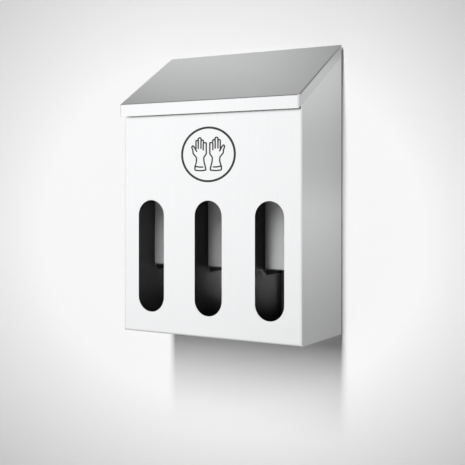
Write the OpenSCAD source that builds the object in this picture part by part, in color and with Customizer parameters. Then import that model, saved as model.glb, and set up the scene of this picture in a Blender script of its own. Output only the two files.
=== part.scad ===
// Wall dispenser for loose disposable gloves in three sizes: a folded sheet
// casing with three finger slots, two dividers, three glove guides, and a
// sloping lid on a continuous hinge at the back.
//
// Frame: +Z is up, the front faces -Y and the wall is the plane y = 0. The
// origin is the centre of the four wall screw holes. All lengths are in mm.

/* [Casing] */
// Outside width of the casing
casing_w = 300; // [270:5:360]
// Depth from the front panel's face to the wall
casing_d = 132; // [122:1:160]
// Height at which the sloping top meets the front panel's face
front_h = 344.7; // [330:0.1:380]
// Angle of the sloping top above the horizontal
slope = 31.7; // [26:0.1:36]
// Thickness of the casing, back panel and lid sheet
sheet_t = 1.2; // [1:0.1:1.5]
// Inside radius of the bends in that sheet
bend_in_r = 1.2; // [0.8:0.1:2]
// Width of the flanges turned in at the back, overall
return_w = 14; // [10:1:18]
// Width of the flanges turned in under the lid, overall
rim_w = 12; // [8:1:14]
// How far the back panel's edges stand in from the casing's sides
back_inset = 3; // [2.5:0.5:6]

/* [Finger slots] */
// Width of each slot
slot_w = 46; // [36:1:56]
// Overall height of each slot
slot_h = 166; // [120:1:180]
// Height of a slot's lower end above the casing's bottom
slot_z = 30.7; // [24:0.1:44]

/* [Dividers and guides] */
// Thickness of the divider and guide sheet
inner_t = 1; // [0.8:0.1:1.2]
// Inside radius of the bends in that sheet
inner_bend_r = 1; // [0.8:0.1:1.5]
// Width of the dividers' foot and back flanges, overall
divider_flange_w = 12; // [8:1:16]
// Height left free between a divider and the sloping top
divider_top_gap = 4; // [3:0.5:8]
// Clearance at the dividers' front edges and beside the guides
fit_gap = 0.5; // [0.3:0.1:0.8]
// Depth from the front panel's face to a guide's face
guide_depth = 75; // [60:1:85]
// Height of a guide's shelf above the casing's bottom
shelf_z = 94; // [88:1:110]
// Height of a guide's top edge above the casing's bottom
guide_top_z = 360; // [320:1:366]
// Width of a guide's side flanges, overall
guide_side_w = 9; // [6:1:12]
// Height of a guide's back flange, overall
guide_back_h = 14; // [10:1:20]
// Chamfer at the front of a shelf's side flanges
guide_chamfer = 4; // [2:0.5:5]

/* [Lid] */
// Distance of the lid's front face ahead of the front panel
lid_proud = 10.2; // [8:0.1:14]
// Height of the lid's front flange, overall
lid_front_h = 18.4; // [14:0.1:24]
// Width of the lid's side flanges, square to the slope
lid_side_w = 15; // [12:0.5:18]
// Gap between each side flange and the casing
lid_side_gap = 0.5; // [0.4:0.1:1]
// Gap between the closed lid and the casing's rim
lid_gap = 0.3; // [0.3:0.05:0.6]
// Inside radius of the lid's bends
lid_bend_r = 1; // [0.8:0.1:1.6]
// Outside radius of the lid's upright front corners
lid_corner_r = 4; // [2.2:0.1:6]
// How far the side flanges end ahead of the hinge axis
lid_side_setback = 4; // [3.5:0.5:8]

/* [Hinge] */
// Diameter of the hinge pin
pin_d = 2.8; // [2.4:0.1:3.2]
// Radial play of the pin in the knuckles
pin_play = 0.05; // [0.03:0.01:0.08]
// Wall of a knuckle
knuckle_wall = 0.95; // [0.8:0.05:1.2]
// Thickness of the hinge leaves
leaf_t = 1; // [0.8:0.1:1.2]
// Distance of a leaf's outer face beyond the knuckles
knuckle_relief = 0.15; // [0.12:0.01:0.3]
// Number of knuckles
knuckle_count = 9; // [5:2:13]
// Gap between neighbouring knuckles
knuckle_gap = 0.4; // [0.3:0.1:0.8]
// Length of the back leaf from the hinge axis
back_leaf_l = 16; // [15:0.5:18]
// Length of the lid leaf from the hinge axis
lid_leaf_l = 18; // [17:0.5:22]
// Gap between each end of the hinge and the casing's return flanges
hinge_end_gap = 1; // [0.5:0.5:3]

/* [Fixings] */
// Diameter of the weld studs that hold the hinge
stud_d = 4; // [3:0.5:4]
// Length of the weld studs
stud_l = 6; // [5.5:0.5:7]
// Width of the nuts across their flats
nut_af = 7; // [6:0.5:7.5]
// Height of the nuts
nut_h = 3.2; // [2.4:0.1:3.4]
// Distance of the nuts on the back leaf below the hinge axis
back_nut_u = 9.5; // [9:0.5:11]
// Distance of the nuts on the lid leaf from the hinge axis
lid_nut_u = 11.5; // [11:0.5:13]
// Number of nuts on the back leaf
back_nut_count = 4; // [2:1:5]
// Number of nuts on the lid leaf
lid_nut_count = 5; // [2:1:5]
// Diameter of the wall screw holes
screw_d = 6.5; // [4:0.5:8]
// Distance between the wall screw holes, side to side
screw_dx = 200; // [180:5:220]
// Least distance of the upper wall screw holes below the hinge's back leaf
screw_leaf_gap = 18; // [12:1:24]
// Step of the distance between the wall screw holes, top to bottom
screw_step = 5; // [1:1:10]
// Height of the lower wall screw holes above the casing's bottom
screw_z = 60; // [54:1:66]

/* [Hidden] */
$fn = 64;
reach = 600;                    // longer than anything that is cut
half_w = casing_w / 2;
front_y = -casing_d;
bay_pitch = casing_w / 3;       // three equal bays
bend_r = bend_in_r + sheet_t;
inner_r = inner_bend_r + inner_t;

// Hinge: each leaf's outer face is leaf_face away from the axis
knuckle_r = pin_d / 2 + pin_play + knuckle_wall;
leaf_face = knuckle_r + knuckle_relief;
axis_y = -sheet_t - leaf_face;
axis_z = top_z(axis_y, lid_gap) - leaf_face / cos(slope);
hinge_l = casing_w - 2 * (return_w + hinge_end_gap);
knuckle_pitch = hinge_l / knuckle_count;
screw_dz = screw_step * floor((axis_z - back_leaf_l - screw_leaf_gap - screw_z) / screw_step);
screw_mid_z = screw_z + screw_dz / 2;
nut_bore_play = 0.05;
leaf_hole_play = 0.25;
leaf_set_back = knuckle_r + 0.6;    // a leaf's edge beside the other's knuckles

// Lid
lid_half_w = half_w + lid_side_gap + sheet_t;
lid_front_y = front_y - lid_proud;
lid_top_off = lid_gap + sheet_t;
lid_fold_r = lid_bend_r + sheet_t;
lid_front_z = top_z(lid_front_y, lid_top_off) - lid_front_h;

// Guides and dividers
bay_w = half_w - sheet_t - bay_pitch / 2 - inner_t / 2;
guide_w = bay_w - 2 * fit_gap;
outer_bay_x = (half_w - sheet_t + bay_pitch / 2 + inner_t / 2) / 2;
guide_y = front_y + guide_depth;
divider_flange_x = bay_pitch / 2 - inner_t / 2 + divider_flange_w;
// the guides' back flanges lie between the dividers' and the casing's flanges
guide_back_w = 2 * (min(outer_bay_x - divider_flange_x, half_w - return_w - outer_bay_x)
                    - fit_gap);
divider_top_z = axis_z - back_leaf_l - 1.5;
divider_back_z = return_w + fit_gap;

// Height of the casing's sloping top at y, raised by off square to the slope
function top_z(y, off = 0) =
    front_h + (y + casing_d) * tan(slope) + off / cos(slope);

function unit(v) = v / norm(v);
function wrap(list, i) = list[(i + len(list)) % len(list)];

// Sine and tangent of half the angle at corner i of a polygon
function half_sin(p, i) =
    sin(corner_angle(p, i) / 2);
function half_tan(p, i) =
    tan(corner_angle(p, i) / 2);
function corner_angle(p, i) =
    acos(unit(wrap(p, i - 1) - p[i]) * unit(wrap(p, i + 1) - p[i]));

// Ends of the arc that rounds corner i, or the corner itself
function arc_ends(p, r, i) =
    r[i] == 0 ? [p[i]] :
    [for (step = [-1, 1])
        p[i] + unit(wrap(p, i + step) - p[i]) * r[i] / half_tan(p, i)];
function arc_centre(p, r, i) =
    p[i] + unit(unit(wrap(p, i - 1) - p[i]) + unit(wrap(p, i + 1) - p[i]))
        * r[i] / half_sin(p, i);

// Convex polygon with a true arc of radius radii[i] at corner i
module rounded_polygon(points, radii) {
    polygon([for (i = [0 : len(points) - 1]) each arc_ends(points, radii, i)]);
    for (i = [0 : len(points) - 1])
        if (radii[i] > 0)
            translate(arc_centre(points, radii, i)) circle(r = radii[i]);
}

// Section of a folded sheet. It starts at the origin along +X with its
// thickness towards +Y, and after each run it turns by 90 degrees: turn 1 is
// to the left and turn -1 is to the right.
module folded_section(runs, turns, t, r_in) {
    square([runs[0], t]);
    if (len(turns) > 0) {
        left = turns[0] > 0;
        translate([runs[0], left ? t + r_in : -r_in]) {
            rotate(left ? -90 : 0) quarter_ring(r_in, t);
            translate([left ? r_in + t : r_in, 0])
                rotate(90 * turns[0])
                    folded_section(tail(runs), tail(turns), t, r_in);
        }
    }
}
function tail(list) = len(list) < 2 ? [] : [for (i = [1 : len(list) - 1]) list[i]];

module quarter_ring(r_in, t) {
    intersection() {
        difference() {
            circle(r = r_in + t);
            circle(r = r_in);
        }
        square(r_in + t);
    }
}

// Extrudes a section drawn in (y, z) over the width w, centred on x = 0
module across(w) {
    translate([-w / 2, 0, 0]) rotate([90, 0, 90]) linear_extrude(w) children();
}

// Local frame at the hinge axis: Y runs up the slope and Z stands square to it
module on_slope() {
    translate([0, axis_y, axis_z]) rotate([slope, 0, 0]) children();
}

// Heights are drawn from the casing's bottom and moved to the part's origin
module in_frame() {
    translate([0, 0, -screw_mid_z]) children();
}

// Block with a sloping top. Three outlines meet in it, so every fold is a
// true arc: the plan, the side view, and the view along the slope.
module sloped_block(half, front, back, bottom, off, plan_r, side_r, rim_r) {
    top_v = leaf_face - lid_gap + off;
    intersection() {
        translate([0, 0, bottom])
            linear_extrude(reach)
                rounded_polygon([[-half, front], [half, front], [half, back], [-half, back]],
                                plan_r);
        across(2 * half)
            rounded_polygon([[front, bottom], [back, bottom],
                             [back, top_z(back, off)], [front, top_z(front, off)]],
                            side_r);
        on_slope()
            translate([0, reach, 0]) rotate([90, 0, 0])
                linear_extrude(2 * reach)
                    rounded_polygon([[-half, -reach], [half, -reach],
                                     [half, top_v], [-half, top_v]],
                                    [0, 0, rim_r, rim_r]);
    }
}

module casing() {
    rim_front_u = (front_y - axis_y) / cos(slope) + rim_w;
    color("silver") in_frame()
    difference() {
        sloped_block(half_w, front_y, -sheet_t, 0, 0,
                     [bend_r, bend_r, bend_r, bend_r], [bend_r, bend_r, 0, bend_r], bend_r);
        sloped_block(half_w - sheet_t, front_y + sheet_t, -2 * sheet_t, sheet_t, -sheet_t,
                     [bend_in_r, bend_in_r, bend_in_r, bend_in_r],
                     [bend_in_r, bend_in_r, 0, bend_in_r], bend_in_r);
        // mouth under the lid, inside the rim
        on_slope()
            translate([-half_w + rim_w, rim_front_u, leaf_face - lid_gap - 2 * sheet_t])
                cube([casing_w - 2 * rim_w, reach, 4 * sheet_t]);
        // open back, inside the return flanges
        translate([-half_w + return_w, -3 * sheet_t, return_w])
            cube([casing_w - 2 * return_w, 3 * sheet_t, reach]);
        // corners cut away where the lid's rear edge turns
        translate([-half_w - 1, axis_y - leaf_face - sheet_t - 1, axis_z - 1])
            cube([casing_w + 2, reach, reach]);
        for (i = [-1 : 1])
            translate([i * bay_pitch, front_y + 2 * sheet_t, slot_z])
                rotate([90, 0, 0])
                    linear_extrude(3 * sheet_t) slot_outline();
    }
}

// Upright slot with round ends, its lower end at the origin
module slot_outline() {
    for (y = [slot_w / 2, slot_h - slot_w / 2])
        translate([0, y]) circle(d = slot_w);
    translate([-slot_w / 2, slot_w / 2]) square([slot_w, slot_h - slot_w]);
}

module back_panel() {
    half = half_w - back_inset;
    top = axis_z - 1;
    corner_r = 3;
    color("gainsboro") in_frame()
    difference() {
        rotate([90, 0, 0])
            linear_extrude(sheet_t)
                rounded_polygon([[-half, back_inset], [half, back_inset],
                                 [half, top], [-half, top]],
                                [corner_r, corner_r, corner_r, corner_r]);
        for (x = [-screw_dx / 2, screw_dx / 2], z = [screw_z, screw_z + screw_dz])
            translate([x, 1, z])
                rotate([90, 0, 0]) cylinder(d = screw_d, h = sheet_t + 2);
    }
}

// side is -1 for the left divider and 1 for the right one. The foot and back
// flanges turn outwards and leave an open corner between their bends.
module divider(side) {
    web_front = front_y + sheet_t + fit_gap;
    web_back = -sheet_t - inner_r;
    web_foot = sheet_t + inner_r;
    foot_front = front_y + bend_r + fit_gap;
    flange_run = divider_flange_w - inner_r;
    web_x = side * (bay_pitch / 2) + (side > 0 ? inner_t / 2 : -inner_t / 2);
    in_frame() translate([web_x, 0, 0]) mirror([side > 0 ? 0 : 1, 0, 0]) {
        translate([-inner_t, 0, 0])
            rotate([90, 0, 90])
                linear_extrude(inner_t)
                    polygon([[web_front, web_foot], [web_back, web_foot],
                             [web_back, divider_top_z],
                             [divider_slope_y(), divider_top_z],
                             [web_front, top_z(web_front) - divider_top_gap]]);
        // foot flange
        translate([0, web_back, 0])
            rotate([90, 0, 0])
                linear_extrude(web_back - foot_front)
                    translate([-inner_t, web_foot + inner_t])
                        rotate(-90)
                            folded_section([inner_t, flange_run], [1], inner_t, inner_bend_r);
        // back flange
        translate([0, 0, divider_back_z])
            linear_extrude(divider_top_z - divider_back_z)
                translate([0, web_back - inner_t])
                    rotate(90)
                        folded_section([inner_t, flange_run], [-1], inner_t, inner_bend_r);
    }
}
// Where a divider's sloping top edge meets its level part below the hinge
function divider_slope_y() =
    front_y + (divider_top_z + divider_top_gap - front_h) / tan(slope);

module divider_left() { color("lightsteelblue") divider(-1); }
module divider_right() { color("lightsteelblue") divider(1); }

// Guide for the stack of gloves in one bay: an upright face, a shelf behind
// its foot, a flange up the back panel, and side flanges along both.
module guide(x) {
    face_h = guide_top_z - shelf_z;
    shelf_l = -sheet_t - guide_y;
    side_run = guide_side_w - inner_r;
    flat_w = guide_w - 2 * inner_r;
    relief = 1;
    in_frame() translate([x, 0, 0]) {
        across(flat_w)
            translate([guide_y, guide_top_z])
                rotate(-90)
                    folded_section([face_h - inner_r, shelf_l - 2 * inner_r],
                                   [1], inner_t, inner_bend_r);
        // back flange, narrower than the shelf
        across(guide_back_w)
            translate([-sheet_t - inner_r - inner_t, shelf_z])
                folded_section([inner_t, guide_back_h - inner_r], [1], inner_t, inner_bend_r);
        for (side = [0, 1]) mirror([side, 0, 0]) {
            // side flange of the face, turned back
            translate([flat_w / 2 - inner_t, guide_y, shelf_z + inner_r + relief])
                linear_extrude(face_h - inner_r - relief)
                    folded_section([inner_t, side_run], [1], inner_t, inner_bend_r);
            // side flange of the shelf, turned down, with its front corner cut
            difference() {
                translate([flat_w / 2 - inner_t, -sheet_t - inner_r - relief, shelf_z])
                    rotate([90, 0, 0])
                        linear_extrude(shelf_l - 2 * (inner_r + relief))
                            folded_section([inner_t, side_run], [-1], inner_t, inner_bend_r);
                translate([0, guide_y + inner_r + relief, shelf_z - side_run - inner_bend_r])
                    rotate([45, 0, 0])
                        cube([guide_w, 2 * guide_chamfer, guide_chamfer * sqrt(2)], center = true);
            }
        }
    }
}

module guide_left() { color("slategray") guide(-outer_bay_x); }
module guide_middle() { color("slategray") guide(0); }
module guide_right() { color("slategray") guide(outer_bay_x); }

module lid() {
    side_off = lid_top_off - lid_side_w;
    side_end_y = axis_y - lid_side_setback;
    color("lightgray") in_frame()
    difference() {
        sloped_block(lid_half_w, lid_front_y, reach / 2, 0, lid_top_off,
                     [lid_corner_r, lid_corner_r, 0, 0], [0, 0, 0, lid_fold_r], lid_fold_r);
        sloped_block(lid_half_w - sheet_t, lid_front_y + sheet_t, reach, -1, lid_gap,
                     [lid_corner_r - sheet_t, lid_corner_r - sheet_t, 0, 0],
                     [0, 0, 0, lid_bend_r], lid_bend_r);
        // below the front and side flanges
        across(reach)
            polygon([[lid_front_y - 1, lid_front_z], [lid_front_y + sheet_t, lid_front_z],
                     [lid_front_y + sheet_t, top_z(lid_front_y + sheet_t, side_off)],
                     [reach / 2, top_z(reach / 2, side_off)],
                     [reach / 2, -2], [lid_front_y - 1, -2]]);
        // behind the side flanges
        across(reach)
            polygon([[side_end_y, -2], [reach, -2],
                     [reach, top_z(reach, lid_gap)], [side_end_y, top_z(side_end_y, lid_gap)]]);
        // behind the hinge axis
        on_slope() translate([-reach / 2, 0, -reach / 2]) cube(reach);
    }
}

// Hinge leaf in the hinge's own frame: the axis is X, the leaf runs along -Y
// and its outer face looks along +Z. It carries every second knuckle.
module hinge_leaf(length, first, hole_u, holes) {
    difference() {
        union() {
            translate([-hinge_l / 2, -length, leaf_face - leaf_t])
                cube([hinge_l, length - leaf_set_back, leaf_t]);
            for (i = [first : 2 : knuckle_count - 1])
                translate([knuckle_x(i), 0, 0]) {
                    rotate([0, 90, 0])
                        cylinder(r = knuckle_r, h = knuckle_pitch - knuckle_gap);
                    translate([0, -leaf_set_back - 1, leaf_face - leaf_t])
                        cube([knuckle_pitch - knuckle_gap, leaf_set_back + 1, leaf_t]);
                }
        }
        translate([-hinge_l / 2 - 1, 0, 0])
            rotate([0, 90, 0]) cylinder(d = pin_d + 2 * pin_play, h = hinge_l + 2);
        for (x = holes)
            translate([x, -hole_u, 0])
                cylinder(d = stud_d + 2 * leaf_hole_play, h = 2 * leaf_face);
    }
}
function knuckle_x(i) = -hinge_l / 2 + i * knuckle_pitch + knuckle_gap / 2;
function fixing_x(count) =
    [for (i = [0 : count - 1]) (i - (count - 1) / 2) * hinge_l / count];

// Places the hinge's own frame so that the leaf hangs down the back panel
module on_back() {
    translate([0, axis_y, axis_z]) rotate([-90, 0, 0]) rotate([0, 0, 180]) children();
}

module hinge_leaf_back() {
    color("darkgray") in_frame() on_back()
        hinge_leaf(back_leaf_l, 0, back_nut_u, fixing_x(back_nut_count));
}

module hinge_leaf_lid() {
    color("gray") in_frame() on_slope()
        hinge_leaf(lid_leaf_l, 1, lid_nut_u, fixing_x(lid_nut_count));
}

module hinge_pin() {
    color("dimgray") in_frame()
        translate([-hinge_l / 2, axis_y, axis_z])
            rotate([0, 90, 0]) cylinder(d = pin_d, h = hinge_l);
}

// Weld stud that stands on the sheet at z = leaf_face, and its nut on the leaf
module stud() {
    translate([0, 0, leaf_face - stud_l]) cylinder(d = stud_d, h = stud_l);
}
module nut() {
    translate([0, 0, leaf_face - leaf_t - nut_h])
        difference() {
            cylinder(d = nut_af / cos(30), h = nut_h, $fn = 6);
            translate([0, 0, -1])
                cylinder(d = stud_d + 2 * nut_bore_play, h = nut_h + 2);
        }
}
module fixing_row(count, u) {
    for (x = fixing_x(count)) translate([x, -u, 0]) children();
}

module back_studs() {
    color("goldenrod") in_frame() on_back() fixing_row(back_nut_count, back_nut_u) stud();
}
module back_nuts() {
    color("darkkhaki") in_frame() on_back() fixing_row(back_nut_count, back_nut_u) nut();
}
module lid_studs() {
    color("goldenrod") in_frame() on_slope() fixing_row(lid_nut_count, lid_nut_u) stud();
}
module lid_nuts() {
    color("darkkhaki") in_frame() on_slope() fixing_row(lid_nut_count, lid_nut_u) nut();
}

casing();
back_panel();
divider_left();
divider_right();
guide_left();
guide_middle();
guide_right();
lid();
hinge_leaf_back();
hinge_leaf_lid();
hinge_pin();
back_studs();
back_nuts();
lid_studs();
lid_nuts();
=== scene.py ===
"""Looks of a wall dispenser for disposable gloves: brushed stainless steel sheet,
a printed glove sign on the front, threaded weld studs with their nuts, and a
plain pale studio with the dispenser on its wall."""

import math

import bmesh
import bpy
from mathutils import Matrix, Vector


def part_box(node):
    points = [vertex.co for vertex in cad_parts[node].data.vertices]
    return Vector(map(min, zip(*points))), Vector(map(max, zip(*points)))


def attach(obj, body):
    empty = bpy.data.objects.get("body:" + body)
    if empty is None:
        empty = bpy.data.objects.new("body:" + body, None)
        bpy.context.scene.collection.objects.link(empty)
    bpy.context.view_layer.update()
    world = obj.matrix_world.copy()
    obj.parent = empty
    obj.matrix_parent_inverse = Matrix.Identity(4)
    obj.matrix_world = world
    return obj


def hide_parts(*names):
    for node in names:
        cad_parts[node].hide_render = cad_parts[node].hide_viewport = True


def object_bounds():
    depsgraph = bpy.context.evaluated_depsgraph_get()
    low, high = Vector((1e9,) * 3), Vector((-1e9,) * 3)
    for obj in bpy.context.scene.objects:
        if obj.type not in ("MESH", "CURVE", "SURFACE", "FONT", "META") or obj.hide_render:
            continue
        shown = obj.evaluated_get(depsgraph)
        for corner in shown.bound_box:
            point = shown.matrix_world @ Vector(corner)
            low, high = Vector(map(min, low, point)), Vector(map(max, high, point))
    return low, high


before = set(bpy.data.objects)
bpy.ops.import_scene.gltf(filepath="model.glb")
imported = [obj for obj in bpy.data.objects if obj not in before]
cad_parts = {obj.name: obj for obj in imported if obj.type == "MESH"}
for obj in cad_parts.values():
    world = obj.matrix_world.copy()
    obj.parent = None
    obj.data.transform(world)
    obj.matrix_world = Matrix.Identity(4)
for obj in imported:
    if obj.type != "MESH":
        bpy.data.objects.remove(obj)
cad_low, cad_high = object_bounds()

MM = 0.001

# The dispenser: its box comes from the frame, its fold lines from its drawing
casing_low, casing_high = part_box("casing")
FRONT_Y = casing_low.y
BOTTOM_Z = casing_low.z
HALF_W = casing_high.x
FRONT_H = 344.7 * MM
SLOPE = math.radians(31.7)
# Height of the lid's outer face above the casing's top, square to the slope
LID_FACE = 1.5 * MM
# Depth in a sheet at which its inner face's finish starts
FACE_SPLIT = 1.0 * MM


# ---------------------------------------------------------------- node maths

class Wire:
    """A socket of a node tree. Arithmetic on it adds Math nodes."""

    def __init__(self, tree, socket=None):
        self.tree = tree
        self.socket = socket

    def node(self, kind, settings=None, inputs=None, output=0):
        """Adds a node, sets it up, fills its sockets and returns one output."""
        made = self.tree.nodes.new(kind)
        for name, setting in (settings or {}).items():
            if name == "stops":
                set_stops(made.color_ramp.elements, setting)
            else:
                setattr(made, name, setting)
        for key, given in (inputs or {}).items():
            if isinstance(given, Wire):
                self.tree.links.new(given.socket, made.inputs[key])
            else:
                made.inputs[key].default_value = given
        return Wire(self.tree, made.outputs[output] if made.outputs else None)

    def beside(self, output):
        """Another output of the node that this socket belongs to."""
        return Wire(self.tree, self.socket.node.outputs[output])

    def math(self, operation, first, second=0.0, third=0.0):
        return self.node("ShaderNodeMath", {"operation": operation},
                         {0: first, 1: second, 2: third})

    def __add__(self, other):
        return self.math("ADD", self, other)

    def __sub__(self, other):
        return self.math("SUBTRACT", self, other)

    def __rsub__(self, other):
        return self.math("SUBTRACT", other, self)

    def __mul__(self, other):
        return self.math("MULTIPLY", self, other)

    def __truediv__(self, other):
        return self.math("DIVIDE", self, other)

    def __pow__(self, other):
        return self.math("POWER", self, other)

    def __gt__(self, other):
        return self.math("GREATER_THAN", self, other)

    def __lt__(self, other):
        return self.math("LESS_THAN", self, other)

    def __abs__(self):
        return self.math("ABSOLUTE", self)

    __radd__ = __add__
    __rmul__ = __mul__

    def parts(self):
        """The three numbers of a vector."""
        first = self.node("ShaderNodeSeparateXYZ", inputs={0: self})
        return first, first.beside(1), first.beside(2)

    def vector(self, x, y, z=0.0):
        return self.node("ShaderNodeCombineXYZ", inputs={0: x, 1: y, 2: z})

    def colour(self, share, first, second):
        """Blends two colours, all first at share 0 and all second at share 1."""
        return self.node("ShaderNodeMix", {"data_type": "RGBA"},
                         {0: share, 6: first, 7: second}, output=2)

    def noise(self, place, scale, detail=2.0):
        return self.node("ShaderNodeTexNoise", {"noise_dimensions": "2D"},
                         {"Vector": place, "Scale": scale, "Detail": detail})

    def ramp(self, value, start, end):
        """0 at start and 1 at end, smooth between them."""
        return self.node("ShaderNodeMapRange", {"interpolation_type": "SMOOTHSTEP"},
                         {"Value": value, "From Min": start, "From Max": end})


def set_stops(elements, stops):
    while len(elements) > 1:
        elements.remove(elements[-1])
    for index, (position, colour) in enumerate(stops):
        stop = elements[0] if index == 0 else elements.new(position)
        stop.position, stop.color = position, colour


def grey(level):
    return (level, level, level, 1.0)


def new_material(name):
    material = bpy.data.materials.new(name)
    material.use_nodes = True
    material.node_tree.nodes.clear()
    return material, Wire(material.node_tree)


def surface(wires, shader):
    wires.node("ShaderNodeOutputMaterial", inputs={"Surface": shader})


# ----------------------------------------------------------------- materials

STEEL = (0.75, 0.755, 0.76)
BACK_STEEL = (0.5, 0.5, 0.505)
DIVIDER_STEEL = (0.46, 0.46, 0.465)
GUIDE_STEEL = (0.7, 0.7, 0.705)
HINGE_STEEL = (0.62, 0.625, 0.63)
FIXING_STEEL = (0.7, 0.7, 0.69)
# Colour of the painted highlight on bends that look forwards and down
BEND_HIGHLIGHT_TONE = (0.97, 0.97, 0.97, 1.0)
# A face looks sideways when this much of its direction does
SIDEWAYS = 0.7
# Duller finish of the inner faces, as it comes from the mill
MILL_LIGHT = (0.5, 0.5, 0.505, 1.0)
MILL_DARK = (0.42, 0.42, 0.425, 1.0)
MILL_ROUGHNESS = 0.5
# Brushing: marks for each metre across it and along it
HAIRS = (2600, 9)
BANDS = (260, 2.2)
CLOUDS = (9, 7)
HAIR_SHARE = 0.6
BAND_SHARE = 0.4
STREAK_LIGHT = 1.03
STREAK_DARK = 0.95
STREAK_ROUGH = 0.08
CLOUD_ROUGH = 0.04
RELIEF = 0.02 * MM
# Bends are smoother than the sheet beside them
BEND_SMOOTH = 0.22
# Spot welds down the back panel's edges
WELD_INSET = 8.5 * MM
WELD_PITCH = 48 * MM
WELD_R = 2.6 * MM
WELD_CORE = 0.8
WELD_TINT = (0.42, 0.38, 0.33, 1.0)
WELD_STRENGTH = 0.45
WELD_ROUGH = 0.12
WELD_SUNK = 1.5
# Specks of the small parts' steel, and grains of the ink
SPECK_GRAIN = 1800.0
SPECK_DARK = 0.92
SPECK_LIGHT = 1.05
SPECK_ROUGH = 0.08
SPECK_BUMP = 0.1
INK_GRAIN = 2500.0
INK_DARK = 0.008
INK_LIGHT = 0.02
INK_ROUGHNESS = 0.4
INK_ROUGH = 0.15
INK_BUMP = 0.2


def facing_side(wires):
    """1 where a face looks to the left or to the right."""
    facing_x, _, _ = wires.node("ShaderNodeTexCoord", output="Normal").parts()
    return abs(facing_x) > SIDEWAYS


def facing_down(wires):
    """1 on a bend between an upright face and one that looks down."""
    _, facing_y, facing_z = wires.node("ShaderNodeTexCoord", output="Normal").parts()
    return (facing_y < -0.2) * (facing_z < -0.1)


def brushing(wires):
    """Places on a folded sheet: across the brushing and along it. The brushing
    runs up the front and the sides and follows the bends."""
    x, y, z = wires.node("ShaderNodeTexCoord", output="Object").parts()
    on_side = facing_side(wires)
    across = x + on_side * (y - x)
    along = z + (1 - on_side) * y
    return across, along


def sheet_steel(name, tone, roughness, grain, inside=None, welds=None, painted_side_shade=1.0, spread=0.0,
                painted_bend_highlight=None):
    """Stainless sheet: fine streaks along the brushing, broad soft clouds, a duller
    inner face, and round weld marks where the welds function gives them. The faces
    that look sideways can be darkened as painted shade. spread widens reflections
    across upright brushing. The bends that look forwards and down can be given a
    bright colour as a painted highlight."""
    material, wires = new_material(name)
    across, along = brushing(wires)
    hairs = wires.noise(wires.vector(across * HAIRS[0], along * HAIRS[1]), 1.0, 3.0)
    bands = wires.noise(wires.vector(across * BANDS[0], along * BANDS[1]), 1.0, 2.0)
    clouds = wires.noise(wires.vector(across * CLOUDS[0], along * CLOUDS[1]), 1.0, 1.0)
    marks = welds(wires) if welds else 0.0
    streaks = hairs * HAIR_SHARE + bands * BAND_SHARE
    light = [channel * STREAK_LIGHT for channel in tone] + [1.0]
    dark = [channel * STREAK_DARK for channel in tone] + [1.0]
    base = wires.colour(streaks, dark, light)
    # Painted shade: the faces that look sideways are darkened
    if painted_side_shade < 1:
        side_dark = [channel * painted_side_shade for channel in dark]
        side_light = [channel * painted_side_shade for channel in light]
        base = wires.colour(facing_side(wires), base,
                            wires.colour(streaks, side_dark, side_light))
    rough = (roughness - (STREAK_ROUGH + CLOUD_ROUGH) / 2 + streaks * STREAK_ROUGH
             + clouds * CLOUD_ROUGH)
    # Painted highlight: bends that look forwards and down get a bright colour
    if painted_bend_highlight:
        bend = facing_down(wires)
        base = wires.colour(bend, base, painted_bend_highlight)
        rough = rough - bend * BEND_SMOOTH
    if inside:
        inner = inside(wires)
        base = wires.colour(inner, base, wires.colour(streaks, MILL_DARK, MILL_LIGHT))
        rough = rough + inner * (MILL_ROUGHNESS - roughness)
    if welds:
        base = wires.colour(marks * WELD_STRENGTH, base, WELD_TINT)
        rough = rough + marks * WELD_ROUGH
    bump = wires.node("ShaderNodeBump", inputs={
        "Strength": grain, "Distance": RELIEF, "Height": streaks - marks * WELD_SUNK})
    surface(wires, wires.node("ShaderNodeBsdfPrincipled", inputs={
        "Base Color": base, "Metallic": 1.0, "Roughness": rough, "Normal": bump,
        "Anisotropic": spread}))
    return material


def casing_inside(wires):
    """1 on the casing's inner faces, which lie one sheet in from its outside."""
    x, y, z = wires.node("ShaderNodeTexCoord", output="Object").parts()
    top = FRONT_H + BOTTOM_Z + (y - FRONT_Y) * math.tan(SLOPE)
    return ((HALF_W - abs(x) > FACE_SPLIT) * (y - FRONT_Y > FACE_SPLIT)
            * (z - BOTTOM_Z > FACE_SPLIT) * (top - z > FACE_SPLIT / math.cos(SLOPE)))


def lid_inside(wires):
    """1 on the lid's inner faces."""
    x, y, z = wires.node("ShaderNodeTexCoord", output="Object").parts()
    low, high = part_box("lid")
    top = FRONT_H + BOTTOM_Z + LID_FACE / math.cos(SLOPE) + (y - FRONT_Y) * math.tan(SLOPE)
    return ((high.x - abs(x) > FACE_SPLIT) * (y - low.y > FACE_SPLIT)
            * (top - z > FACE_SPLIT / math.cos(SLOPE)))


def panel_welds(wires):
    """Spot weld marks down both edges of the back panel, where it lies on the
    casing's return flanges."""
    x, _, z = wires.node("ShaderNodeTexCoord", output="Object").parts()
    off_x = abs(x) - (HALF_W - WELD_INSET)
    off_z = wires.math("PINGPONG", z - BOTTOM_Z, WELD_PITCH / 2)
    apart = (off_x * off_x + off_z * off_z) ** 0.5
    return wires.ramp(apart, WELD_R, WELD_R * WELD_CORE)


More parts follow.
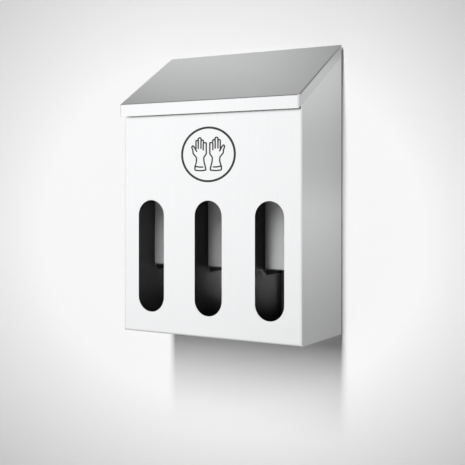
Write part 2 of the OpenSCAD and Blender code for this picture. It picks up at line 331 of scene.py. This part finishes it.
def plain_steel(name, tone, roughness):
    """Small turned and rolled parts: bright steel with faint even specks."""
    material, wires = new_material(name)
    place = wires.node("ShaderNodeTexCoord", output="Object")
    specks = wires.node("ShaderNodeTexNoise", inputs={
        "Vector": place, "Scale": SPECK_GRAIN, "Detail": 3.0})
    base = wires.colour(specks, [channel * SPECK_DARK for channel in tone] + [1.0],
                        [channel * SPECK_LIGHT for channel in tone] + [1.0])
    bump = wires.node("ShaderNodeBump", inputs={
        "Strength": SPECK_BUMP, "Distance": RELIEF, "Height": specks})
    surface(wires, wires.node("ShaderNodeBsdfPrincipled", inputs={
        "Base Color": base, "Metallic": 1.0, "Roughness": roughness + specks * SPECK_ROUGH,
        "Normal": bump}))
    return material


def sign_ink():
    """Baked black ink of the sign, slightly uneven."""
    material, wires = new_material("sign_ink")
    place = wires.node("ShaderNodeTexCoord", output="Object")
    grains = wires.node("ShaderNodeTexNoise", inputs={
        "Vector": place, "Scale": INK_GRAIN, "Detail": 2.0})
    base = wires.colour(grains, grey(INK_DARK), grey(INK_LIGHT))
    bump = wires.node("ShaderNodeBump", inputs={
        "Strength": INK_BUMP, "Distance": RELIEF, "Height": grains})
    surface(wires, wires.node("ShaderNodeBsdfPrincipled", inputs={
        "Base Color": base, "Roughness": INK_ROUGHNESS + grains * INK_ROUGH, "Normal": bump}))
    return material


# -------------------------------------------------------------------- pieces

def new_piece(name, mesh, body, material, replaces=None):
    """Turns a bmesh into a piece that rides on a body."""
    bmesh.ops.recalc_face_normals(mesh, faces=mesh.faces)
    data = bpy.data.meshes.new(name)
    mesh.to_mesh(data)
    mesh.free()
    data.materials.append(material)
    piece = bpy.data.objects.new(name, data)
    bpy.context.scene.collection.objects.link(piece)
    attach(piece, body)
    if replaces:
        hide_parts(replaces)
    return piece


def full_turn(count):
    """Equal angles all the way round, in radians."""
    return [2 * math.pi * k / count for k in range(count)]


def ring_between(mesh, first, second):
    """Joins two closed rings of vertices with four-sided faces."""
    count = len(first)
    for i in range(count):
        j = (i + 1) % count
        mesh.faces.new((first[i], first[j], second[j], second[i]))


# Sign: a ring round two gloves, in millimetres. SIGN_HEIGHT is its centre's height
# above the casing's bottom, and the glove's corners are measured from that centre.
SIGN_HEIGHT = 262.8
RING_HALF_W = 44.6
RING_HALF_H = 38.4
RING_TURNS = 128
RING_LINE = 3.1
GLOVE_LINE = 2.05
# Lines are this many times wider across than up and down
LINE_STRETCH = 1.15
LINE_CAP_STEPS = 5
LINE_CAP_END = 0.02
INK_PROUD = 0.06
INK_SUNK = 0.04
# Corners of one glove's lines as (x, z, radius); the other one is its mirror
GLOVE_HAND = [(-19.5, 4.7, 0), (-22.6, 9.4, 2), (-25.6, 13.4, 1.8), (-28.0, 11.2, 1.6),
              (-25.8, 5.6, 3), (-25.8, 2.0, 3), (-19.9, -4.1, 4), (-19.6, -10.0, 6),
              (-22.2, -17.2, 0)]
GLOVE_EDGE = [(-3.0, 14.6, 2), (-3.0, 0.6, 3), (-7.2, -4.2, 3), (-7.0, -9.6, 8),
              (-4.6, -18.2, 0)]
GLOVE_CUFF = [(-22.2, -17.2, 2), (-22.8, -22.6, 2.6), (-12.8, -23.4, 30), (-3.4, -22.6, 2.6),
              (-4.6, -18.2, 2)]
CUFF_SEAM = [(-21.4, -17.0, 0), (-14.5, -18.2, 20), (-8.8, -18.0, 0)]
# Fingers from the thumb's side inwards: left side, right side, tip, foot of the left gap
FINGER_ROUND = 0.48
FINGER_END = 3
FINGERS = [(-20.6, -16.7, 20.6, 8.0), (-16.7, -12.0, 24.0, 8.8),
           (-12.0, -8.1, 20.8, 8.8), (-8.1, -3.0, 16.8, 6.6)]


def rounded_path(corners, steps=7):
    """Points along a line with smoothly rounded corners, given as (x, z, radius)."""
    path = []
    for i, (x, z, radius) in enumerate(corners):
        corner = Vector((x, z))
        if radius == 0 or i in (0, len(corners) - 1):
            path.append(corner)
            continue
        before = Vector(corners[i - 1][:2]) - corner
        after = Vector(corners[i + 1][:2]) - corner
        half = before.angle(after) / 2
        # just under half of each side, so that the next corner has room for its own
        run = min(radius / math.tan(half), 0.49 * before.length, 0.49 * after.length)
        start, end = corner + before.normalized() * run, corner + after.normalized() * run
        for step in range(steps + 1):
            t = step / steps
            path.append((1 - t) ** 2 * start + 2 * t * (1 - t) * corner + t ** 2 * end)
    return path


def add_line(mesh, path, width, closed=False):
    """Adds a raised line with round ends along a path of (x, z) points."""
    half = width / 2
    count = len(path)
    sections = []
    for i, point in enumerate(path):
        before = path[i - 1] if closed or i else point
        after = path[(i + 1) % count] if closed or i < count - 1 else point
        tangent = (after - before).normalized()
        sections.append((point, tangent, half))
    if not closed:
        turns = [math.radians(90 * k / LINE_CAP_STEPS) for k in range(1, LINE_CAP_STEPS + 1)]
        for index, sign in ((0, -1), (-1, 1)):
            point, tangent, _ = sections[index]
            cap = [(point + tangent * sign * half * math.sin(turn), tangent,
                    max(half * math.cos(turn), LINE_CAP_END * half)) for turn in turns]
            sections = sections + cap if sign > 0 else cap[::-1] + sections
    face_y, root_y = FRONT_Y - INK_PROUD * MM, FRONT_Y + INK_SUNK * MM
    rings = []
    for point, tangent, reach in sections:
        out = Vector((-tangent.y * LINE_STRETCH, tangent.x)) * reach
        ring = [(point + out, face_y), (point - out, face_y),
                (point - out, root_y), (point + out, root_y)]
        rings.append([mesh.verts.new((p.x * MM, y, BOTTOM_Z + (SIGN_HEIGHT + p.y) * MM))
                      for p, y in ring])
    for first, second in zip(rings, rings[1:]):
        ring_between(mesh, first, second)
    if closed:
        ring_between(mesh, rings[-1], rings[0])
    else:
        mesh.faces.new(rings[0])
        mesh.faces.new(rings[-1])


def make_sign_ring(ink):
    mesh = bmesh.new()
    oval = [Vector((RING_HALF_W * math.cos(a), RING_HALF_H * math.sin(a)))
            for a in full_turn(RING_TURNS)]
    add_line(mesh, oval, RING_LINE, closed=True)
    new_piece("sign_ring", mesh, "case", ink)


def make_sign_glove(name, side, ink):
    """side is 1 for the glove on the left and -1 for its mirror on the right."""
    mesh = bmesh.new()

    def draw(corners):
        add_line(mesh, rounded_path([(x * side, z, r) for x, z, r in corners]), GLOVE_LINE)

    for left, right, tip, foot in FINGERS:
        tip_r = FINGER_ROUND * (right - left)
        draw([(left, foot, 0), (left, tip, tip_r), (right, tip, tip_r),
              (right, tip - FINGER_END, 0)])
    for lines in (GLOVE_HAND, GLOVE_EDGE, GLOVE_CUFF, CUFF_SEAM):
        draw(lines)
    new_piece(name, mesh, "case", ink)


# Weld studs and nuts: metric 4 mm thread. Vertices this near are one.
SAME_PLACE = 0.001 * MM
STUD_R = 2 * MM
STUD_L = 6 * MM
STUD_AROUND = 28
STUD_PER_TURN = 7
THREAD_PITCH = 0.7 * MM
THREAD_DEPTH = 0.38 * MM
THREAD_FADE = 0.6 * THREAD_PITCH
NUT_AF = 7 * MM
NUT_H = 3.2 * MM
NUT_AROUND = 72
NUT_CHAMFER_R = 0.475 * NUT_AF
NUT_CHAMFER = math.tan(math.radians(30))
NUT_BORE_R = STUD_R - 0.05 * MM
NUT_SINK = 0.25 * MM
# Turns of a fixing drawn along Z to where it stands on the back panel and on the lid
ON_BACK = Matrix.Rotation(math.radians(90), 3, "X")
ON_LID = Matrix.Rotation(math.pi + SLOPE, 3, "X")


def solid_centres(node):
    """Centres of a node's separate solids, from left to right."""
    mesh = bmesh.new()
    mesh.from_mesh(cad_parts[node].data)
    bmesh.ops.remove_doubles(mesh, verts=mesh.verts, dist=SAME_PLACE)
    left, found = set(mesh.verts), []
    while left:
        group, edge = set(), [left.pop()]
        while edge:
            vert = edge.pop()
            group.add(vert)
            for link in vert.link_edges:
                other = link.other_vert(vert)
                if other in left:
                    left.remove(other)
                    edge.append(other)
        spots = [vert.co.copy() for vert in group]
        low, high = Vector(map(min, *spots)), Vector(map(max, *spots))
        found.append((low + high) / 2)
    mesh.free()
    return sorted(found, key=lambda spot: spot.x)


def add_rings(mesh, rings, place, turn):
    """Adds rings of (x, y, z) points, each joined to the next one, turned and placed."""
    made = [[mesh.verts.new(place + turn @ Vector(spot)) for spot in ring] for ring in rings]
    for first, second in zip(made, made[1:]):
        ring_between(mesh, first, second)
    return made


def threaded_rod(mesh, centre, turn):
    """Stud with a thread that fades out at both ends."""
    rows = round(STUD_L / THREAD_PITCH * STUD_PER_TURN)
    rings = []
    for row in range(rows + 1):
        z = STUD_L * (row / rows - 0.5)
        fade = min(1.0, (STUD_L / 2 - abs(z)) / THREAD_FADE)
        ring = []
        for k, a in enumerate(full_turn(STUD_AROUND)):
            phase = (z / THREAD_PITCH - k / STUD_AROUND) % 1.0
            crest = 1 - abs(2 * phase - 1)
            r = STUD_R - THREAD_DEPTH * (1 - crest * fade)
            ring.append((r * math.cos(a), r * math.sin(a), z))
        rings.append(ring)
    made = add_rings(mesh, rings, centre, turn)
    mesh.faces.new(made[0])
    mesh.faces.new(made[-1])


def hex_nut(mesh, centre, turn):
    """Hexagonal nut with chamfered corners and a countersunk bore."""
    top = NUT_H / 2

    def outer(a):
        return NUT_AF / 2 / math.cos((a + math.pi / 6) % (math.pi / 3) - math.pi / 6)

    def level(radius, half):
        return [(radius(a) * math.cos(a), radius(a) * math.sin(a), half(a))
                for a in full_turn(NUT_AROUND)]

    def shoulder(a):
        return top - (outer(a) - NUT_CHAMFER_R) * NUT_CHAMFER

    rings = [level(lambda a: NUT_BORE_R, lambda a: -top + NUT_SINK),
             level(lambda a: NUT_BORE_R + NUT_SINK, lambda a: -top),
             level(lambda a: NUT_CHAMFER_R, lambda a: -top),
             level(outer, lambda a: -shoulder(a)),
             level(outer, shoulder),
             level(lambda a: NUT_CHAMFER_R, lambda a: top),
             level(lambda a: NUT_BORE_R + NUT_SINK, lambda a: top),
             level(lambda a: NUT_BORE_R, lambda a: top - NUT_SINK)]
    made = add_rings(mesh, rings, centre, turn)
    ring_between(mesh, made[-1], made[0])


def make_fixings(material):
    """Threaded studs and chamfered nuts, each in the place of its plain solid."""
    rows = (("back_studs", threaded_rod, "case", ON_BACK),
            ("back_nuts", hex_nut, "case", ON_BACK),
            ("lid_studs", threaded_rod, "lid", ON_LID),
            ("lid_nuts", hex_nut, "lid", ON_LID))
    for node, make, body, turn in rows:
        mesh = bmesh.new()
        for centre in solid_centres(node):
            make(mesh, centre, turn)
        new_piece("detailed_" + node, mesh, body, material, node)


# -------------------------------------------------------------------- studio

# Camera: place in metres, turn to the left in degrees, lens in millimetres, shift
CAMERA_PLACE = (0.7124, -1.2559, -0.0080)
CAMERA_TURN = 30.86
CAMERA_LENS = 71.9
CAMERA_SHIFT_UP = -0.0955

# Ray depths that end the first bounce and the second one
ONE_BOUNCE = 1.5
TWO_BOUNCES = 2.5

# World: its level for the camera, for matt paint, and for steel at its first two
# bounces and after them
WORLD_SEEN = 0.95
WORLD_LIGHT = 0.06
WORLD_STEEL = 0.285
WORLD_DEEP = 0.05

# Key light: azimuth, elevation and distance from the dispenser's foot, width, length
KEY_AZIMUTH = 0.25
KEY_ELEVATION = 29.5
KEY_AWAY = 12
KEY_W = 1.0
KEY_L = 9.6
KEY_POWER = 1465

# Wall and floor, in metres
WALL_GAP = 1 * MM
WALL_HALF_W = 2.0
WALL_TOP = 2.2
FLOOR_DROP = 0.55
FLOOR_DEPTH = 3.2
# The wall's paint is a painted pool of light, brightest at a spot. It fades faster
# to the right of it than to the left, and faster below it than above.
SPOT_X = -0.027
SPOT_Z = -0.091
SPOT_LEAN = 0.416
SPOT_NEAREST = 0.2
SPOT_NARROW = 0.858
SPOT_DROP = 1.17
WALL_FALL = 1.04
WALL_FADE = 1.41
WALL_TONE = 0.97
WALL_DIM = 0.52
FLOOR_LIGHT = 0.36
FLOOR_SEEN = 0.8

# How bright the side sees the wall beside it: dim at the foot, brighter towards the
# middle, a dimmer band above that and bright again at the top. Each change comes
# between two heights in metres.
SIDE_FOOT = 0.465
SIDE_MIDDLE = 0.28
SIDE_MIDDLE_Z = (-0.25, -0.01)
SIDE_SHADE = 0.13
SIDE_SHADE_Z = (-0.055, 0.025)
SIDE_TOP = 0.19
SIDE_TOP_Z = (0.05, 0.17)
SIDE_NEAR = 0.87
SIDE_GAIN = 0.18
SIDE_GAIN_X = (0.14, 0.22)
# How bright the lid's top sees the wall above it: a patch that fades all round
LID_PATCH = 0.75
LID_PATCH_Z = 0.25
LID_PATCH_HALF_W = 0.1
LID_PATCH_UP = 1.3
LID_PATCH_RIGHT = 5.5
LID_PATCH_LEFT = 2
LID_DIM = 0.3
# Heights between which the side's view of the wall gives way to the lid's
LID_VIEW_Z = (0.17, 0.22)

# Surround: its size in metres, and its level by azimuth in degrees to the right of
# straight ahead
SURROUND_R = 2.04
SURROUND_LOW = -0.75
SURROUND_HIGH = 1.05
SURROUND_SIDES = 72
SURROUND_BANDS = ((-180, 0.5), (-120, 0.56), (-75, 0.7), (-55, 0.88), (-30, 0.91), (-12, 0.79),
                  (8, 0.66), (40, 0.68), (90, 0.6), (130, 0.54), (180, 0.5))
SURROUND_LIGHT = 1.52
SURROUND_LEVEL = 0.97
SURROUND_RISE = 0.1

# Panels: level at the foot, how much it rises, and the width share where sides fade
PANEL_LEVEL = 0.88
PANEL_RISE = 0.13
PANEL_FADE = (0.5, 0.3)
# Panel that the back panel shows where it is seen in other steel
INNER_PANEL_LIGHT = 11.0
# Bay, azimuth and half angle of its panel seen from the guide, lower edge, light
BAY_PANELS = (("left", 17, 9, 0.1, 15.5), ("middle", 13, 7, 0.16, 17.0),
              ("right", 11, 6, 0.0, 22.5))
BAY_PANEL_AWAY = 0.7
BAY_PANEL_TOP = 0.8
# The panels aim at the part of the guide that shows through the slot from the right
BAY_AIM_LEFT = 0.036
# A dimmer panel under each of them lights the guide's foot from below
LOW_PANEL_LOW = -0.74
LOW_PANEL_HIGH = -0.4
LOW_PANEL_DIMMED = 1.8


def wall_in_side(wires, x, z):
    """The wall's brightness seen by the dispenser's side: soft bands, dimmer close by."""
    bands = (SIDE_FOOT + SIDE_MIDDLE * wires.ramp(z, *SIDE_MIDDLE_Z)
             - SIDE_SHADE * wires.ramp(z, *SIDE_SHADE_Z) + SIDE_TOP * wires.ramp(z, *SIDE_TOP_Z))
    return bands * (SIDE_NEAR + SIDE_GAIN * wires.ramp(x, *SIDE_GAIN_X))


def wall_in_lid(wires, x, z):
    """The wall's brightness seen by the lid's top: a soft patch above the dispenser."""
    rise = wires.math("MAXIMUM", z - LID_PATCH_Z, 0.0)
    right = wires.math("MAXIMUM", x + LID_PATCH_HALF_W, 0.0)
    left = wires.math("MAXIMUM", -LID_PATCH_HALF_W - x, 0.0)
    level = (LID_PATCH - rise * LID_PATCH_UP - right * right * LID_PATCH_RIGHT
             - left * left * LID_PATCH_LEFT)
    return wires.math("MAXIMUM", level, LID_DIM)


def matt(wires, colour):
    """Shader of matt paint."""
    return wires.node("ShaderNodeBsdfPrincipled", inputs={
        "Base Color": colour, "Roughness": 1.0, "Specular IOR Level": 0.0})


def see_through_behind(wires, paint):
    """Makes a sheet's material clear where it is seen from behind."""
    behind = wires.node("ShaderNodeNewGeometry", output="Backfacing")
    clear = wires.node("ShaderNodeBsdfTransparent")
    surface(wires, wires.node("ShaderNodeMixShader", inputs={0: behind, 1: paint, 2: clear}))


def wall_paint():
    """White wall with a painted pool of light, which the steel sees as a painted glow
    in its own soft tones.
    """
    material, wires = new_material("wall_paint")
    x, _, z = wires.node("ShaderNodeTexCoord", output="Object").parts()
    # Painted pool of light: the paint fades out from a spot
    nearer = wires.math("MAXIMUM", 1 - (x - SPOT_X) * SPOT_LEAN, SPOT_NEAREST)
    across = (x - SPOT_X) * SPOT_NARROW / nearer
    up = wires.math("MAXIMUM", z - SPOT_Z, (SPOT_Z - z) * SPOT_DROP) / nearer
    away = (across * across + up * up) ** 0.5
    fade = wires.math("MINIMUM", (1 - WALL_FALL * away) * WALL_FADE, WALL_TONE)
    level = wires.math("MAXIMUM", fade, WALL_DIM)
    paint = matt(wires, wires.vector(level, level, level))
    above = wires.ramp(z, *LID_VIEW_Z)
    glow = wall_in_side(wires, x, z) * (1 - above) + wall_in_lid(wires, x, z) * above
    mirrored = wires.node("ShaderNodeEmission", inputs={
        "Color": wires.vector(glow, glow, glow), "Strength": 1.0})
    glossy = wires.node("ShaderNodeLightPath", output="Is Glossy Ray")
    paint = wires.node("ShaderNodeMixShader", inputs={0: glossy, 1: paint, 2: mirrored})
    see_through_behind(wires, paint)
    return material


def floor_paint():
    """Pale floor, flat where it is seen, which throws little light back up at the
    shadow on the wall."""
    material, wires = new_material("floor_paint")
    paint = matt(wires, grey(FLOOR_LIGHT))
    camera = wires.node("ShaderNodeLightPath", output="Is Camera Ray")
    in_steel = camera.beside("Is Glossy Ray") * (camera.beside("Ray Depth") < ONE_BOUNCE)
    seen = wires.node("ShaderNodeEmission", inputs={"Color": grey(FLOOR_SEEN), "Strength": 1.0})
    paint = wires.node("ShaderNodeMixShader", inputs={0: camera + in_steel, 1: paint, 2: seen})
    see_through_behind(wires, paint)
    return material


def panel_glow(strength, bounce):
    """Light of a panel with soft sides, brighter towards its top. At bounce 1 it shows
    in steel that is seen straight, at bounce 2 in steel that is seen in other steel.
    What lies behind the panel shows through it."""
    material, wires = new_material("panel_glow")
    x, _, z = wires.node("ShaderNodeTexCoord", output="Generated").parts()
    depth = wires.node("ShaderNodeLightPath", output="Ray Depth")
    seen = (depth > bounce - 0.5) * (depth < bounce + 0.5)
    level = (PANEL_LEVEL + PANEL_RISE * z) * wires.ramp(abs(x - 0.5), *PANEL_FADE) * seen
    glow = wires.node("ShaderNodeEmission", inputs={
        "Color": wires.vector(level, level, level), "Strength": strength})
    clear = wires.node("ShaderNodeBsdfTransparent")
    surface(wires, wires.node("ShaderNodeAddShader", inputs={0: glow, 1: clear}))
    return material


def stage_sheet(name, corners_list, material):
    """Flat stage piece made of four-sided faces."""
    mesh = bmesh.new()
    for corners in corners_list:
        mesh.faces.new([mesh.verts.new(corner) for corner in corners])
    data = bpy.data.meshes.new(name)
    mesh.to_mesh(data)
    mesh.free()
    data.materials.append(material)
    piece = bpy.data.objects.new(name, data)
    bpy.context.scene.collection.objects.link(piece)
    return piece


def make_wall_and_floor():
    """Wall behind the dispenser and the floor."""
    y = cad_high.y + WALL_GAP
    floor_z = BOTTOM_Z - FLOOR_DROP
    wall = [(-WALL_HALF_W, y, floor_z), (WALL_HALF_W, y, floor_z),
            (WALL_HALF_W, y, WALL_TOP), (-WALL_HALF_W, y, WALL_TOP)]
    stage_sheet("wall", [wall], wall_paint())
    floor = [(-WALL_HALF_W, y, floor_z), (-WALL_HALF_W, y - FLOOR_DEPTH, floor_z),
             (WALL_HALF_W, y - FLOOR_DEPTH, floor_z), (WALL_HALF_W, y, floor_z)]
    stage_sheet("floor", [floor], floor_paint())


def make_world():
    """Plain backdrop behind everything, with its own level for the steel."""
    world = bpy.data.worlds.new("studio")
    bpy.context.scene.world = world
    world.use_nodes = True
    world.node_tree.nodes.clear()
    wires = Wire(world.node_tree)
    camera = wires.node("ShaderNodeLightPath", output="Is Camera Ray")
    glossy = camera.beside("Is Glossy Ray")
    early = camera.beside("Ray Depth") < TWO_BOUNCES
    in_steel = glossy * (WORLD_DEEP + early * (WORLD_STEEL - WORLD_DEEP))
    level = camera * WORLD_SEEN + in_steel + (1 - camera) * (1 - glossy) * WORLD_LIGHT
    light = wires.node("ShaderNodeBackground", inputs={
        "Color": wires.vector(level, level, level), "Strength": 1.0})
    wires.node("ShaderNodeOutputWorld", inputs={"Surface": light})


def make_key():
    """Tall key light high above the front, which doesn't show in steel. The dispenser's
    shadow falls straight down the wall and fades downwards."""
    data = bpy.data.lights.new("key", "AREA")
    data.shape = "RECTANGLE"
    data.size, data.size_y = KEY_W, KEY_L
    data.energy = KEY_POWER
    key = bpy.data.objects.new("key", data)
    bpy.context.scene.collection.objects.link(key)
    foot = Vector((0, 0, BOTTOM_Z))
    a, e = math.radians(KEY_AZIMUTH), math.radians(KEY_ELEVATION)
    key.location = foot + KEY_AWAY * Vector((math.sin(a) * math.cos(e),
                                             -math.cos(a) * math.cos(e), math.sin(e)))
    key.rotation_euler = (foot - key.location).to_track_quat("-Z", "Y").to_euler()
    key.visible_glossy = False


def make_camera():
    data = bpy.data.cameras.new("camera")
    data.lens = CAMERA_LENS
    data.shift_y = CAMERA_SHIFT_UP
    camera = bpy.data.objects.new("camera", data)
    bpy.context.scene.collection.objects.link(camera)
    camera.location = CAMERA_PLACE
    camera.rotation_euler = (math.radians(90), 0, math.radians(CAMERA_TURN))
    bpy.context.scene.camera = camera


def surround_glow():
    """Light of the surround, by azimuth. It shows only in steel that is seen straight."""
    material, wires = new_material("surround_glow")
    x, y, z = wires.node("ShaderNodeTexCoord", output="Object").parts()
    turn = wires.math("ARCTAN2", x, y * -1) / (2 * math.pi) + 0.5
    stops = [(azimuth / 360 + 0.5, grey(level)) for azimuth, level in SURROUND_BANDS]
    bands = wires.node("ShaderNodeValToRGB", {"stops": stops}, {0: turn})
    first = wires.node("ShaderNodeLightPath", output="Ray Depth") < ONE_BOUNCE
    level = bands * (SURROUND_LEVEL + SURROUND_RISE * z) * first
    surface(wires, wires.node("ShaderNodeEmission", inputs={
        "Color": wires.vector(level, level, level), "Strength": SURROUND_LIGHT}))
    return material


def hide_from_camera(piece):
    """Leaves a light sheet to reflections only."""
    for kind in ("camera", "diffuse", "transmission", "volume_scatter", "shadow"):
        setattr(piece, "visible_" + kind, False)


def make_surround():
    """Pale upright sheet all round the dispenser that only the steel sees."""
    around = [(SURROUND_R * math.sin(a), -SURROUND_R * math.cos(a))
              for a in full_turn(SURROUND_SIDES)]
    faces = [[(*first, SURROUND_LOW), (*second, SURROUND_LOW),
              (*second, SURROUND_HIGH), (*first, SURROUND_HIGH)]
             for first, second in zip(around[-1:] + around, around)]
    hide_from_camera(stage_sheet("surround", faces, surround_glow()))


def make_panel(name, node, facing, azimuth, distance, half_w, low, high, light, bounce=1):
    """Pale upright panel that faces a point of the dispenser and lights one node only."""
    a = math.radians(azimuth)
    centre = facing + distance * Vector((math.sin(a), -math.cos(a), 0))
    across = Vector((math.cos(a), math.sin(a), 0)) * half_w
    corners = [centre + across * side + Vector((0, 0, z))
               for side, z in ((-1, low), (1, low), (1, high), (-1, high))]
    panel = stage_sheet(name, [corners], panel_glow(light, bounce))
    hide_from_camera(panel)
    lit = bpy.data.collections.new("lit_by_" + name)
    lit.objects.link(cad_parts[node])
    panel.light_linking.receiver_collection = lit


def make_bay_panels():
    """Two panels for each bay, one above the other, which light its guide through its
    finger slot."""
    for bay, azimuth, spread, low, light in BAY_PANELS:
        node = "guide_" + bay
        near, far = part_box(node)
        facing = Vector(((near.x + far.x) / 2 - BAY_AIM_LEFT, near.y, 0))
        half_w = BAY_PANEL_AWAY * math.tan(math.radians(spread))
        make_panel("bay_panel_" + bay, node, facing, azimuth, BAY_PANEL_AWAY, half_w,
                   low, BAY_PANEL_TOP, light)
        make_panel("low_bay_panel_" + bay, node, facing, azimuth, BAY_PANEL_AWAY, half_w,
                   LOW_PANEL_LOW, LOW_PANEL_HIGH, light / LOW_PANEL_DIMMED)


# -------------------------------------------------------------------- making

make_camera()
make_world()
make_key()
make_wall_and_floor()
make_surround()
make_panel("inner_panel", "back_panel", Vector((0, 0, 0)), azimuth=33, distance=1.6, half_w=0.8,
           low=-0.75, high=-0.1, light=INNER_PANEL_LIGHT, bounce=2)
make_bay_panels()

casing_steel = sheet_steel("casing_steel", STEEL, 0.3, 0.12, casing_inside, spread=0.6)
# Painted shade darkens the lid's sideways faces and the guides' side flanges
lid_steel = sheet_steel("lid_steel", STEEL, 0.3, 0.12, lid_inside, painted_side_shade=0.87)
back_steel = sheet_steel("back_steel", BACK_STEEL, 0.45, 0.1, welds=panel_welds)
divider_steel = sheet_steel("divider_steel", DIVIDER_STEEL, 0.5, 0.1)
# The guides' bends that look forwards and down get a painted highlight
guide_steel = sheet_steel("guide_steel", GUIDE_STEEL, 0.65, 0.1, painted_side_shade=0.22, painted_bend_highlight=BEND_HIGHLIGHT_TONE)
hinge_steel = plain_steel("hinge_steel", HINGE_STEEL, 0.3)
fixing_steel = plain_steel("fixing_steel", FIXING_STEEL, 0.28)
ink = sign_ink()

FINISHES = {
    "casing": casing_steel, "lid": lid_steel, "back_panel": back_steel,
    "divider_left": divider_steel, "divider_right": divider_steel,
    "guide_left": guide_steel, "guide_middle": guide_steel, "guide_right": guide_steel,
    "hinge_leaf_back": hinge_steel, "hinge_leaf_lid": hinge_steel, "hinge_pin": hinge_steel,
    "back_studs": fixing_steel, "back_nuts": fixing_steel,
    "lid_studs": fixing_steel, "lid_nuts": fixing_steel}
for node, material in FINISHES.items():
    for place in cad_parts[node].material_slots:
        place.material = material

make_sign_ring(ink)
make_sign_glove("sign_glove_left", 1, ink)
make_sign_glove("sign_glove_right", -1, ink)
make_fixings(fixing_steel)

bpy.context.scene.view_settings.view_transform = "Standard"
